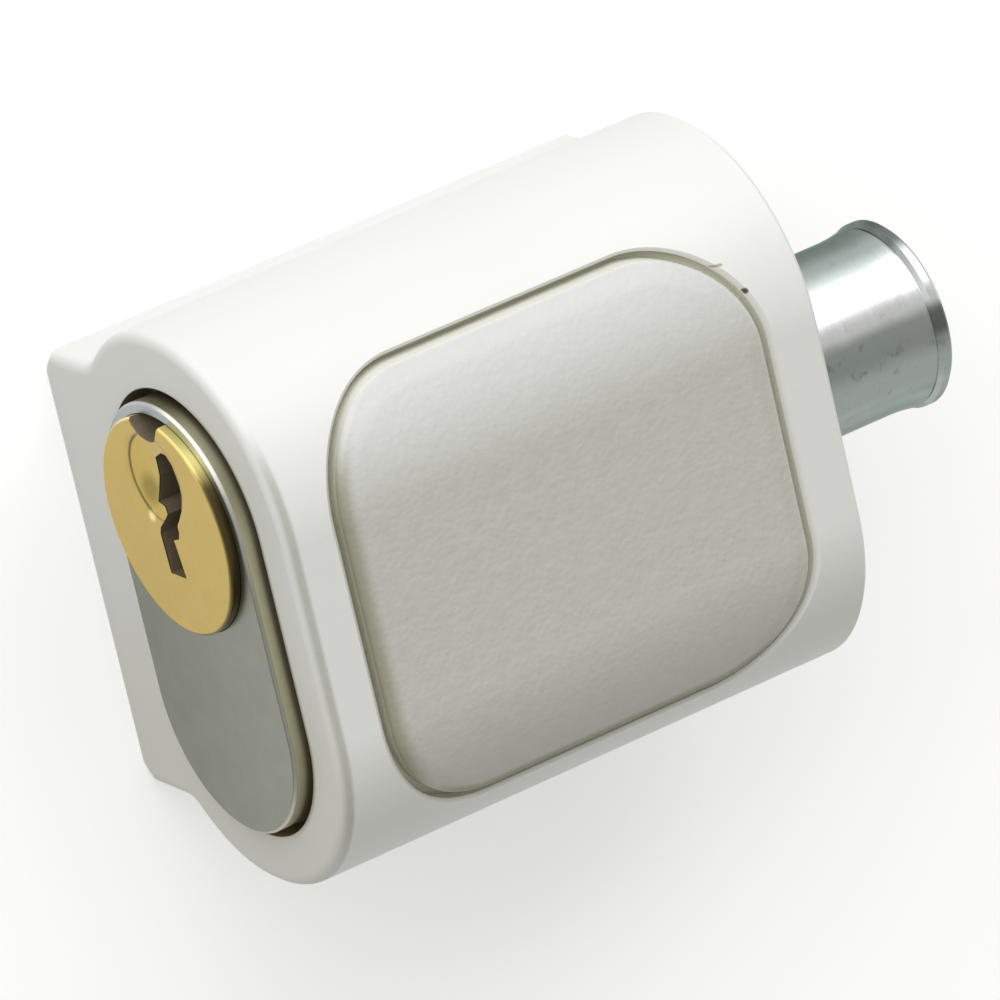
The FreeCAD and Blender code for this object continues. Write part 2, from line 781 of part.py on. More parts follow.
def make_key_pin(x, length):
    """Turned key pin: a cone at the key end, and a foot rounded to the plug's own radius."""
    top = shear_y + length
    body = rod_y(pin_radius, shear_y - past, top - key_pin_tip_length, x)
    tip = Part.makeCone(pin_radius, key_pin_tip_radius, key_pin_tip_length,
                        vec(x, top - key_pin_tip_length, axis_height), ACROSS)
    inside = rod_x(plug_body_radius - shear_gap / 2, x - pin_pitch / 2, x + pin_pitch / 2, plug_y)
    return body.fuse(tip).removeSplitter().common(inside)


def make_driver_pin(x):
    top = shear_y - shear_gap
    pin = rod_y(pin_radius, top - driver_length, top, x)
    return pin.makeChamfer(driver_chamfer, [edge for edge in pin.Edges if edge.BoundBox.YLength < 1e-6])


def arc_through(start, control, end):
    """Arc tangent at both ends to the lines through control."""
    middle = (start + end) * 0.5
    half_chord = (end - start).Length / 2
    height = (control - middle).Length
    turn = math.atan2(height, half_chord)
    share = math.tan(turn / 2) / math.tan(turn)
    return Part.Arc(start, middle + (control - middle) * share, end).toShape()


def coil(origin, axis, side, radius, wire, turns, length):
    """Spring of open coils from origin along axis, as one tube on half-turn biarcs.

    The springs are hidden, so that their wire has a few flat sides in place of a round section.
    """
    other = axis.cross(side)
    run = length - wire
    rate = run / (2 * math.pi * turns)
    first = origin + axis * (wire / 2)

    def point(a):
        return first + side * (radius * math.cos(a)) + other * (radius * math.sin(a)) + axis * (rate * a)

    def tangent(a):
        way = side * (-radius * math.sin(a)) + other * (radius * math.cos(a)) + axis * rate
        return way.normalize()
    edges = []
    for index in range(2 * turns):
        a0 = index * math.pi
        a1 = a0 + math.pi
        p0, p1, t0, t1 = point(a0), point(a1), tangent(a0), tangent(a1)
        span = p1 - p0
        both = t0 + t1
        qa = both.dot(both) - 4
        qb = -2 * span.dot(both)
        qc = span.dot(span)
        reach = (-qb - math.sqrt(qb * qb - 4 * qa * qc)) / (2 * qa)
        c0 = p0 + t0 * reach
        c1 = p1 - t1 * reach
        joint = (c0 + c1) * 0.5
        edges.append(arc_through(p0, c0, joint))
        edges.append(arc_through(joint, c1, p1))
    path = Part.Wire(edges)
    corners = Part.Circle(point(0), tangent(0), wire / 2).toShape().discretize(wire_sides + 1)
    shell = Part.BRepOffsetAPI.MakePipeShell(path)
    shell.add(Part.makePolygon(corners[:-1] + [corners[0]]))
    shell.build()
    shell.makeSolid()
    gap = 2 * math.pi * rate * math.cos(math.atan(rate / radius)) - wire
    return shell.shape(), gap


def make_springs():
    springs = {}
    length = cavity_end - carrier_end - 2 * spring_seat_gap
    springs["return_spring"] = coil(vec(carrier_end + spring_seat_gap, 0, bolt_height), ALONG, ACROSS,
                                    spring_mean_radius, return_wire, return_spring_turns, length)
    middle = (latch_start + latch_end) / 2
    low = -latch_tail - latch_spring_room + spring_seat_gap
    length = latch_spring_room - 2 * spring_seat_gap
    springs["latch_spring"] = coil(vec(middle, low, axis_height), ACROSS, ALONG, latch_spring_radius,
                                   latch_wire, latch_spring_turns, length)
    foot = strip_top + spring_seat_gap
    room = shear_y - shear_gap - driver_length - strip_top - 2 * spring_seat_gap
    radius = pin_radius - chamber_gap - pin_wire / 2
    for index, x in enumerate(pin_places):
        spring = coil(vec(x, foot, axis_height), ACROSS, ALONG, radius, pin_wire, pin_spring_turns, room)
        springs["pin_spring_%d" % (index + 1)] = spring
    return springs


pieces = {
    "housing": make_housing(),
    "cover_panel": make_cover(),
    "catch_leaf": make_leaf(),
    "cylinder_body": make_cylinder(),
    "chamber_strip": make_strip(),
    "plug": make_plug(),
    "plug_clip": make_clip(),
    "withdrawing_cam": make_cam(),
    "latch": make_latch(),
    "bolt_carrier": make_carrier(),
    "carrier_screws": make_carrier_screws(),
    "bolt": make_bolt(),
    "bolt_pin": make_bolt_pin(),
}
for index, (x, length) in enumerate(zip(pin_places, key_pin_lengths)):
    pieces["key_pin_%d" % (index + 1)] = make_key_pin(x, length)
    pieces["driver_pin_%d" % (index + 1)] = make_driver_pin(x)
for name, (shape, gap) in make_springs().items():
    pieces[name] = shape
    print("%s: least gap between turns %.2f mm" % (name, gap))

for name, shape in pieces.items():
    shape.exportStep("parts/%s.step" % name)
    print("%-18s solids %d valid %s volume %.1f" % (name, len(shape.Solids), shape.isValid(), shape.Volume))
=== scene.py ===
import json
import math
import bpy
import numpy as np
from mathutils import Matrix, Vector


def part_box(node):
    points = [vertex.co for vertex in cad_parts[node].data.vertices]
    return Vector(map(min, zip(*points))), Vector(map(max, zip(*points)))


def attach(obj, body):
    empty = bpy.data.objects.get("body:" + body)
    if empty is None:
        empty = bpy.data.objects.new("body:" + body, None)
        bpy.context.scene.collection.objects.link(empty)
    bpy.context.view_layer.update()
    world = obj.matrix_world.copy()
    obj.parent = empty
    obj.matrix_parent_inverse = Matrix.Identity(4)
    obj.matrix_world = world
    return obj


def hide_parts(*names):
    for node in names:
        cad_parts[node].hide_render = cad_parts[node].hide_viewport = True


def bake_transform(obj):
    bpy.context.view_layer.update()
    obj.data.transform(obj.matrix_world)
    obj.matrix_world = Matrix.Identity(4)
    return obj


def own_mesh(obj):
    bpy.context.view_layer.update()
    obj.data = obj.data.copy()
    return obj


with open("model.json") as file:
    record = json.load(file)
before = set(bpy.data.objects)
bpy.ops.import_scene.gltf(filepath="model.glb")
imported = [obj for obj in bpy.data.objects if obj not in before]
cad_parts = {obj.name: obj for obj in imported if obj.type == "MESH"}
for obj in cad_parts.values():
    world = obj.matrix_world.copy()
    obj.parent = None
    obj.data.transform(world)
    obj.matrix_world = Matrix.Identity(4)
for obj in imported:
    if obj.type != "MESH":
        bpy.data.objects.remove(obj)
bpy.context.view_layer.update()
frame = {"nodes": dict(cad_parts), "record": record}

# Window lock: a white coated body over a narrower foot, a grained cover let into its top,
# an oval key cylinder with a brass plug at one end and a plated bolt at the other.
MM = 0.001
PINS = range(1, 6)

# Camera, solved from the outlines of the body, the oval and the bolt
CAMERA_PLACE = Vector((-0.32700, 0.25504, 0.63102))
CAMERA_AIM = Vector((0.00224, -0.00131, 0.01453))
CAMERA_RIGHT = Vector((0.82457, -0.21648, 0.52271))
LENS = 394.65
SENSOR = 36.0
NEAREST = 0.01
FARTHEST = 10.0

# Light: one large soft box on the plug's side, an even sky and the glow of the floor
LAMP_PLACE = Vector((-0.15, 0.80, 0.44))
LAMP_AIM = Vector((0, 0, 0.015))
LAMP_WIDTH = 2.2
LAMP_HEIGHT = 0.84
LAMP_RADIANCE = 2.0
LAMP_COLOUR = (0.975, 0.985, 1.0)
SKY_STRENGTH = 0.47
SKY_COLOUR = (1.0, 0.995, 0.945, 1.0)
FLOOR_HALF = 4.0
FLOOR_GLOW = 0.32

# Section of the crown: half width of its flat, height of its arcs' centres, their radius
CROWN_Y = 7.1 * MM
CROWN_Z = 15.64 * MM
CROWN_RADIUS = 12.9 * MM

# Places on the object, from the frame
housing_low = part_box("housing")[0]
cylinder_low, cylinder_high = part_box("cylinder_body")
plug_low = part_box("plug")[0]
bolt_low, bolt_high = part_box("bolt")
cover_low, cover_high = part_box("cover_panel")
AXIS_Z = (cylinder_low.z + cylinder_high.z) / 2
BOLT_Z = (bolt_low.z + bolt_high.z) / 2
OVAL_RADIUS = (cylinder_high.z - cylinder_low.z) / 2
PLUG_Y = cylinder_high.y - OVAL_RADIUS
COVER_HALF_X = (cover_high.x - cover_low.x) / 2
COVER_HALF_Y = (cover_high.y - cover_low.y) / 2
COVER_CORNER = 8.0 * MM

# Where the finishes change, in millimetres
MOUTH_GAP = 0.6
BORE_END_X = 18.0
GROOVE_END_X = 18.0
BOLT_HOLE_RIM = 7.0
PLUG_RADIUS = 7.8
NOTCH_RADIUS = 1.9
FACE_BEVEL = 0.2
LIP_LENGTH = 1.15

# Plug's face: its turning rings, scoop and rim notch, and a spot of painted shade and a spot of
# painted highlight, from the plug's middle; the depths of the scoop's step and bowl are in
# millimetres
RING_PITCH = 0.16 * MM
SCOOP_UP = 3.54 * MM
SCOOP_RADIUS = 3.15 * MM
SCOOP_STEP = 0.12
SCOOP_BOWL = 0.33
NOTCH_UP = 8.1 * MM
NOTCH_ACROSS = 0.15 * MM
SHADE_UP = 2.4 * MM
SHADE_ACROSS = -1.45 * MM
HIGHLIGHT_UP = 0.48 * MM
HIGHLIGHT_ACROSS = -1.66 * MM

# Marks in the coat at the rim of the cover's groove
SCRATCH_X = 14.95 * MM
SCRATCH_Y = 13.22 * MM
SCRATCH_LENGTH = 1.05 * MM
SCRATCH_SLOPE = 0.09
CHIP_X = 16.90 * MM
CHIP_Y = 11.00 * MM

# Spring wires, as the springs' nodes have them
RETURN_WIRE = 0.9 * MM
RETURN_TURNS = 5
LATCH_WIRE = 0.4 * MM
LATCH_TURNS = 3
PIN_WIRE = 0.35 * MM
PIN_TURNS = 4
SEAT_GAP = 0.05 * MM

# Points along one turn of a wire, and round it
WIRE_STEPS = 32
WIRE_SIDES = 12


class Field:
    """A value that varies over a surface: the output of a shader node, with arithmetic."""

    def __init__(self, finish, socket):
        self.finish = finish
        self.socket = socket

    def maths(self, operation, other=None):
        sockets = {0: self}
        if other is not None:
            sockets[1] = other
        return self.finish.node("ShaderNodeMath", 0, {"operation": operation}, sockets)

    def flipped(self, operation, other):
        return self.finish.node("ShaderNodeMath", 0, {"operation": operation}, {0: other, 1: self})

    def __add__(self, other):
        return self.maths("ADD", other)

    def __sub__(self, other):
        return self.maths("SUBTRACT", other)

    def __mul__(self, other):
        return self.maths("MULTIPLY", other)

    def __truediv__(self, other):
        return self.maths("DIVIDE", other)

    def __rsub__(self, other):
        return self.flipped("SUBTRACT", other)

    def __rtruediv__(self, other):
        return self.flipped("DIVIDE", other)

    __radd__ = __add__
    __rmul__ = __mul__

    def power(self, exponent):
        return self.maths("POWER", exponent)

    def root(self):
        return self.maths("SQRT")

    def sine(self):
        return self.maths("SINE")

    def size(self):
        return self.maths("ABSOLUTE")

    def at_least(self, other):
        return self.maths("MAXIMUM", other)

    def at_most(self, other):
        return self.maths("MINIMUM", other)

    def apart(self, other):
        """Length of the vector whose two parts are this field and the other."""
        return (self * self + other * other).root()

    def turn(self, other):
        """Angle in degrees of the direction whose two parts are the other field and this one."""
        return self.maths("ARCTAN2", other) * (180 / math.pi)

    def profile(self, *stops):
        """Value that eases from stop to stop, each given as a place and the value there."""
        value = stops[0][1]
        for (low, start), (high, end) in zip(stops, stops[1:]):
            if end != start:
                value = value + self.step(low, high) * (end - start)
        return value

    def step(self, low, high):
        """0 below low, 1 above high, an eased rise between."""
        return self.finish.node("ShaderNodeMapRange", "Result",
                                {"interpolation_type": "SMOOTHSTEP"},
                                {"Value": self, "From Min": low, "From Max": high})


class Finish:
    """A material with its shader, and the fields that its patterns are made from."""

    def __init__(self, name, **constants):
        self.material = bpy.data.materials.new(name)
        self.material.use_nodes = True
        self.tree = self.material.node_tree
        self.tree.nodes.clear()
        self.shader = self.tree.nodes.new("ShaderNodeBsdfPrincipled")
        output = self.tree.nodes.new("ShaderNodeOutputMaterial")
        self.tree.links.new(self.shader.outputs[0], output.inputs["Surface"])
        for socket, value in constants.items():
            self.shader.inputs[socket.replace("_", " ")].default_value = value
        self.place = self.node("ShaderNodeTexCoord", "Object")
        split = self.tree.nodes.new("ShaderNodeSeparateXYZ")
        self.tree.links.new(self.place.socket, split.inputs[0])
        self.x, self.y, self.z = (Field(self, split.outputs[index]) for index in range(3))

    def node(self, kind, output, settings=None, sockets=None):
        made = self.tree.nodes.new(kind)
        for name, value in (settings or {}).items():
            setattr(made, name, value)
        for name, value in (sockets or {}).items():
            if isinstance(value, Field):
                self.tree.links.new(value.socket, made.inputs[name])
            else:
                made.inputs[name].default_value = value
        return Field(self, made.outputs[output])

    def stretched(self, along_x, along_y, along_z):
        """Object coordinates with each axis multiplied by its own number."""
        return self.node("ShaderNodeVectorMath", 0, {"operation": "MULTIPLY"},
                         {0: self.place, 1: (along_x, along_y, along_z)})

    def noise(self, per_mm, detail=3.0, roughness=0.5, vector=None):
        return self.node("ShaderNodeTexNoise", 0, {}, {
            "Vector": vector or self.place, "Scale": per_mm / MM,
            "Detail": detail, "Roughness": roughness})

    def soft_cells(self, per_mm):
        return self.node("ShaderNodeTexVoronoi", "Distance", {"feature": "SMOOTH_F1"}, {
            "Vector": self.place, "Scale": per_mm / MM})

    def blend(self, share, first, second):
        """Mixes two colours; share 0 gives the first."""
        return self.node("ShaderNodeMix", 2, {"data_type": "RGBA"}, {0: share, 6: first, 7: second})

    def relief(self, height, depth_mm, strength=1.0, over=None):
        """Bump from a height field of 0 to 1 that stands for depth_mm, laid over another one."""
        sockets = {"Height": height, "Distance": depth_mm * MM, "Strength": strength}
        if over is not None:
            sockets["Normal"] = over
        return self.node("ShaderNodeBump", 0, {}, sockets)

    def feed(self, **fields):
        for socket, value in fields.items():
            self.tree.links.new(value.socket, self.shader.inputs[socket.replace("_", " ")])
        return self.material


def rgb(red, green, blue):
    return (red, green, blue, 1.0)


def mm_step(field, low, high):
    """Eased rise from 0 at low to 1 at high, both in millimetres."""
    return field.step(low * MM, high * MM)


def oval_reach(f):
    """Distance from the oval cylinder's middle line, which runs across the body."""
    return (f.y.size() - PLUG_Y).at_least(0.0).apart(f.z - AXIS_Z)


def crown_depth(f):
    """Depth under the body's crown, whose section is a flat line with an arc at each end."""
    return CROWN_RADIUS - (f.y.size() - CROWN_Y).at_least(0.0).apart(f.z - CROWN_Z)


def coated_white():
    """Powder-coated casting with a faint orange peel.

    The bore is bare metal, painted a dark brown that also stands in for the shade in the gap round
    the oval, told by the distance from the oval's middle line. Just under its rim the cover's
    groove has dust and painted shade, and further down it is painted lighter against the shade
    there, told by the depth under the crown, whose section is a line with an arc at each end. A
    line of painted shade runs in the key end's rounding, and the end face has painted shade, darker
    and warmer away from the plug, with painted shadow beside the opening on the cover's side. A
    scratch and a chip lie at the groove's rim.
    """
    f = Finish("coated_white", IOR=1.5)
    peel = f.noise(0.55, 2.0)
    grain = f.noise(6.0, 3.0)
    cloud = f.noise(0.07, 2.0)
    colour = f.blend(cloud, rgb(0.79, 0.79, 0.765), rgb(0.82, 0.82, 0.80))
    behind = f.x - housing_low.x
    # Painted shade: the end face is darker and warmer away from the plug.
    end_face_shade = (1 - mm_step(behind, 0.2, 0.45)) * f.y.profile((-19 * MM, 1.0), (6 * MM, 0.25))
    colour = f.blend(end_face_shade, colour, rgb(0.67, 0.665, 0.60))
    # Painted shade: a darker line along the key end's rounding.
    rounding_shade = mm_step(behind, 0.1, 0.45) * (1 - mm_step(behind, 0.65, 1.05))
    rounding_shade = rounding_shade * f.y.profile((-17 * MM, 0.6), (-12 * MM, 1.0),
                                      (11 * MM, 1.0), (16 * MM, 0.0))
    colour = f.blend(rounding_shade * (0.75 + grain * 0.3), colour, rgb(0.48, 0.48, 0.43))
    depth = crown_depth(f)
    upper = mm_step(f.z - CROWN_Z, 0.0, 0.5)
    groove = upper * (1 - mm_step(f.x.size(), GROOVE_END_X, GROOVE_END_X + 0.4))
    # Dust and painted shade: an olive tint just under the groove's rim.
    groove_dust_and_shade = groove * mm_step(depth, 0.05, 0.35) * (0.3 + grain * 0.3)
    colour = f.blend(groove_dust_and_shade, colour, rgb(0.62, 0.605, 0.49))
    # Painted light: the groove is painted lighter further down, against the shade there.
    colour = f.blend(groove * mm_step(depth, 0.3, 0.7), colour, rgb(0.84, 0.83, 0.74))
    surface = upper * (1 - mm_step(depth, 0.22, 0.34))
    along = f.x - SCRATCH_X
    beyond = along - along.at_least(0.0).at_most(SCRATCH_LENGTH)
    scratch = beyond.apart(f.y - SCRATCH_Y + along * SCRATCH_SLOPE)
    scratched = (1 - mm_step(scratch, 0.02, 0.15)) * surface * 0.7
    colour = f.blend(scratched, colour, rgb(0.26, 0.19, 0.10))
    chip = (f.x - CHIP_X).apart(f.y - CHIP_Y)
    chipped = (1 - mm_step(chip, 0.14, 0.30)) * surface * 0.95
    colour = f.blend(chipped, colour, rgb(0.05, 0.035, 0.02))
    # The bore is bare metal, painted a dark brown that also stands in for the shade in the gap
    # round the oval; the bolt's hole is bare metal too.
    gap = oval_reach(f) - OVAL_RADIUS
    bore = 1 - mm_step(gap, MOUTH_GAP + 0.02, MOUTH_GAP + 0.08)
    bore = bore * (1 - mm_step(f.x, BORE_END_X, BORE_END_X + 0.5))
    bolt_hole = 1 - mm_step(f.y.apart(f.z - BOLT_Z), BOLT_HOLE_RIM + 0.02, BOLT_HOLE_RIM + 0.08)
    # Painted shadow: darker beside the opening on the cover's side, as if the gap were wider.
    opening_shadow = (1 - mm_step(gap, MOUTH_GAP + 0.02, 1.0)) * (1 - mm_step(behind, 0.3, 0.5))
    opening_shadow = opening_shadow * mm_step(f.z - AXIS_Z, 1.0, 7.0) * 0.75
    bare_and_shade = f.blend(grain, rgb(0.26, 0.215, 0.145), rgb(0.36, 0.30, 0.21))
    colour = f.blend(bore.at_least(bolt_hole).at_least(opening_shadow), colour, bare_and_shade)
    rough = 0.36 + grain * 0.10
    skin = f.relief(peel * 0.8 + grain * 0.2, 0.03)
    return f.feed(Base_Color=colour, Roughness=rough, Normal=skin)


def grained_plastic():
    """Moulded plastic with a fine leather grain: small rounded cells with soft valleys.

    Towards the cover's edge, a rounded rectangle seen from above, the face falls off a little and
    has painted shade, most at its key end and on the side away from the plug. The face is painted
    lighter and cooler on the plug's side, a painted light. The edge has a painted highlight at the
    bolt's end, and the side wall is painted lighter than the face, against the shade in the groove,
    but darker and yellower at its key end.
    """
    f = Finish("grained_plastic", IOR=1.46)
    warp = f.noise(0.9, 2.0)
    cells = f.soft_cells(2.4)
    fine = f.noise(7.0, 4.0, 0.6)
    broad = f.noise(1.1, 3.0)
    height = (1 - cells) * 0.5 + fine * 0.3 + broad * 0.4
    corner_x = (f.x.size() - (COVER_HALF_X - COVER_CORNER)).at_least(0.0)
    corner_y = (f.y.size() - (COVER_HALF_Y - COVER_CORNER)).at_least(0.0)
    inside = COVER_CORNER - corner_x.apart(corner_y)
    rim = 1 - mm_step(inside, 0.0, 1.5)
    tone = f.blend(warp, rgb(0.55, 0.548, 0.50), rgb(0.605, 0.603, 0.555))
    lit_tone = f.blend(warp, rgb(0.655, 0.66, 0.645), rgb(0.695, 0.70, 0.69))
    # Painted light: lighter and cooler on the plug's side.
    tone = f.blend(mm_step(f.y, 6.0, 14.5), tone, lit_tone)
    depth = crown_depth(f)
    # Painted shade: darker towards the edge, most at the key end and on the side away from the
    # plug.
    key_side = (1 - mm_step(f.x, -16.6, -13.5)) * rim
    far_side = (1 - mm_step(f.y, -14.6, -12.5)) * (1 - mm_step(inside, 0.2, 0.8))
    edge_shade = key_side.at_least(far_side) * (1 - mm_step(f.y, 9.0, 14.5))
    tone = f.blend(edge_shade, tone, rgb(0.33, 0.32, 0.235))
    # Painted highlight: a pale edge at the bolt's end.
    edge_highlight = (1 - mm_step(inside, 0.05, 0.5)) * mm_step(f.x, 14.0, 16.6)
    tone = f.blend(edge_highlight * 0.7, tone, rgb(0.76, 0.76, 0.71))
    # Painted light: the side wall is lighter than the face, against the shade in the groove; darker
    # and yellower at its key end.
    key_wall = 1 - mm_step(f.x, -16.9, -12.0)
    wall = f.blend(key_wall, rgb(0.80, 0.79, 0.72), rgb(0.60, 0.59, 0.49))
    shown = (1 - mm_step(inside, 0.0, 0.06)) * (1 - key_wall * (1 - mm_step(depth, 0.3, 0.45)))
    tone = f.blend(shown, tone, wall)
    rough = 0.42 + fine * 0.16
    grain = f.relief(height, 0.06)
    return f.feed(Base_Color=tone, Roughness=rough, Normal=f.relief(1 - rim, 0.16, 1.0, grain))


def satin_nickel():
    """Nickel-plated face, finely ground across the oval, with small handling marks.

    It has a painted reflection, lighter and cooler, at its top, and is paler towards the cover. The
    edge's bevel has a painted highlight, most between the plug and the cover's side. The side wall
    next to the face goes from dark to yellowish with the angle round the oval, painted shade and
    reflection, has painted shadow where it meets the opening, and is plain further in.
    """
    f = Finish("satin_nickel", Metallic=1.0)
    # A dark tone for painted shade.
    painted_shade_tone = rgb(0.155, 0.135, 0.08)
    ground = f.noise(3.0, 4.0, 0.7, f.stretched(1.0, 0.08, 4.0))
    spots = f.noise(0.5, 3.0)
    mark = f.noise(1.6, 5.0, 0.7).step(0.66, 0.74)
    # Painted reflection: lighter and cooler at the top.
    top_reflection = mm_step(f.y, 2.0, 15.0)
    towards_cover = mm_step(f.z - AXIS_Z, -9.0, 9.0)
    paler = (spots + towards_cover) * 0.5
    colour = f.blend(paler, rgb(0.175, 0.18, 0.145), rgb(0.275, 0.28, 0.238))
    colour = f.blend(top_reflection, colour, rgb(0.37, 0.40, 0.41))
    colour = f.blend(mark * 0.35, colour, rgb(0.14, 0.135, 0.11))
    depth = f.x - cylinder_low.x
    # Painted shade and reflection: the side wall goes from dark to yellowish with the angle round
    # the oval.
    turned = (f.z - AXIS_Z).turn(f.y - PLUG_Y)
    painted_side_light = turned.profile((5.0, 0.08), (30.0, 0.5), (55.0, 0.42),
                           (95.0, 1.0), (135.0, 1.0), (165.0, 0.7))
    yellowed = f.blend(spots, rgb(0.62, 0.61, 0.42), rgb(0.74, 0.73, 0.53))
    wall = f.blend(painted_side_light, painted_shade_tone, yellowed)
    plain = f.blend(spots, rgb(0.34, 0.34, 0.315), rgb(0.43, 0.43, 0.405))
    wall = f.blend(mm_step(depth, 1.6, 4.0) * (0.8 + mark * 0.2), wall, plain)
    # Painted shadow where the side wall meets the opening.
    mouth_shadow = mm_step(depth, 0.8, 1.15) * (1 - mm_step(depth, 1.5, 2.2))
    wall = f.blend(mouth_shadow * 0.6, wall, painted_shade_tone)
    colour = f.blend(mm_step(depth, FACE_BEVEL, 0.3), colour, wall)
    # Painted highlight along the bevel, strongest between the plug and the cover's side.
    bevel = mm_step(oval_reach(f) - OVAL_RADIUS, -FACE_BEVEL, -0.12)
    bevel = bevel * (1 - mm_step(depth, FACE_BEVEL + 0.02, 0.3))
    tone_and_reflection = turned.profile((0.0, 0.1), (20.0, 0.95), (40.0, 0.85), (70.0, 0.4), (120.0, 0.25))
    colour = f.blend(bevel * tone_and_reflection * (0.7 + ground * 0.6), colour, rgb(1.0, 0.95, 0.85))
    rough = 0.26 + ground * 0.16 + mm_step(depth, FACE_BEVEL, 0.4) * 0.2
    return f.feed(Base_Color=colour, Roughness=rough, Normal=f.relief(ground, 0.006, 0.6))


def plug_brass():
    """Turned brass: fine rings about the plug's axis over a warm, slightly cloudy tone.

    The keyway and the notch in the rim are tarnished brown, told by the depth behind the face, or
    behind the scoop's bowl, and by the distance from the notch's centre. The rim's side has a
    painted highlight next to the notch and painted shade round the rest. The scoop's step has a
    line of painted shadow, its bowl a patch of painted shade beside the keyway, and a painted
    highlight lies where the scoop meets the keyway.
    """
    f = Finish("plug_brass")
    up = f.y - PLUG_Y
    across = f.z - AXIS_Z
    reach = up.apart(across)
    rings = (reach * (2 * math.pi / RING_PITCH)).sine() * 0.5 + 0.5
    cloud = f.noise(0.35, 3.0)
    fine = f.noise(5.0, 4.0)
    colour = f.blend(cloud, rgb(0.485, 0.345, 0.082), rgb(0.56, 0.415, 0.118))
    depth = f.x - plug_low.x
    scoop_up = up - SCOOP_UP
    scoop = scoop_up.apart(across)
    in_scoop = 1 - mm_step(scoop, 3.08, 3.15)
    bowl = (1 - (scoop / SCOOP_RADIUS).power(2.0)).at_least(0.0) * SCOOP_BOWL
    face = (in_scoop * SCOOP_STEP + bowl) * MM
    # Painted shade in the scoop's bowl beside the keyway.
    shade = 1 - mm_step((up - SHADE_UP).apart(across - SHADE_ACROSS), 0.4, 1.6)
    colour = f.blend(in_scoop * shade * 0.8, colour, rgb(0.25, 0.19, 0.045))
    # Painted shadow: a dark line along the scoop's step.
    ring = mm_step(scoop, 3.0, 3.1) * (1 - mm_step(scoop, 3.2, 3.3))
    ring = ring * (1 - mm_step(across, -1.8, -1.0))
    colour = f.blend(ring * 0.85, colour, rgb(0.13, 0.10, 0.035))
    # Painted highlight where the scoop meets the keyway.
    scoop_highlight = 1 - mm_step((up - HIGHLIGHT_UP).apart(across - HIGHLIGHT_ACROSS), 0.1, 0.6)
    colour = f.blend(scoop_highlight * 0.8, colour, rgb(0.96, 0.84, 0.45))
    # Painted highlight on the rim's side next to the notch, painted shade round the rest.
    side = mm_step(reach, PLUG_RADIUS - 0.2, PLUG_RADIUS - 0.06)
    rim_highlight = (up / reach).profile((-1.0, 0.0), (0.5, 0.0), (0.76, 1.0))
    colour = f.blend(side, colour, f.blend(rim_highlight, rgb(0.115, 0.09, 0.035), rgb(0.88, 0.74, 0.28)))
    keyway = 1 - mm_step(reach, PLUG_RADIUS - 0.4, PLUG_RADIUS - 0.3)
    keyway = keyway * mm_step(depth - face, 0.06, 0.16)
    from_notch = (up - NOTCH_UP).apart(across - NOTCH_ACROSS)
    notch = 1 - mm_step(from_notch, NOTCH_RADIUS + 0.02, NOTCH_RADIUS + 0.07)
    notch = notch * mm_step(depth, 0.03, 0.15)
    tarnish = keyway.at_least(notch)
    brown = f.blend(fine, rgb(0.125, 0.098, 0.062), rgb(0.18, 0.14, 0.09))
    colour = f.blend(tarnish, colour, brown)
    rough = 0.24 + fine * 0.12 + tarnish * 0.3
    return f.feed(Base_Color=colour, Metallic=1 - tarnish, Roughness=rough,
                  Normal=f.relief(rings * 0.5 + fine * 0.5, 0.005, 0.6))


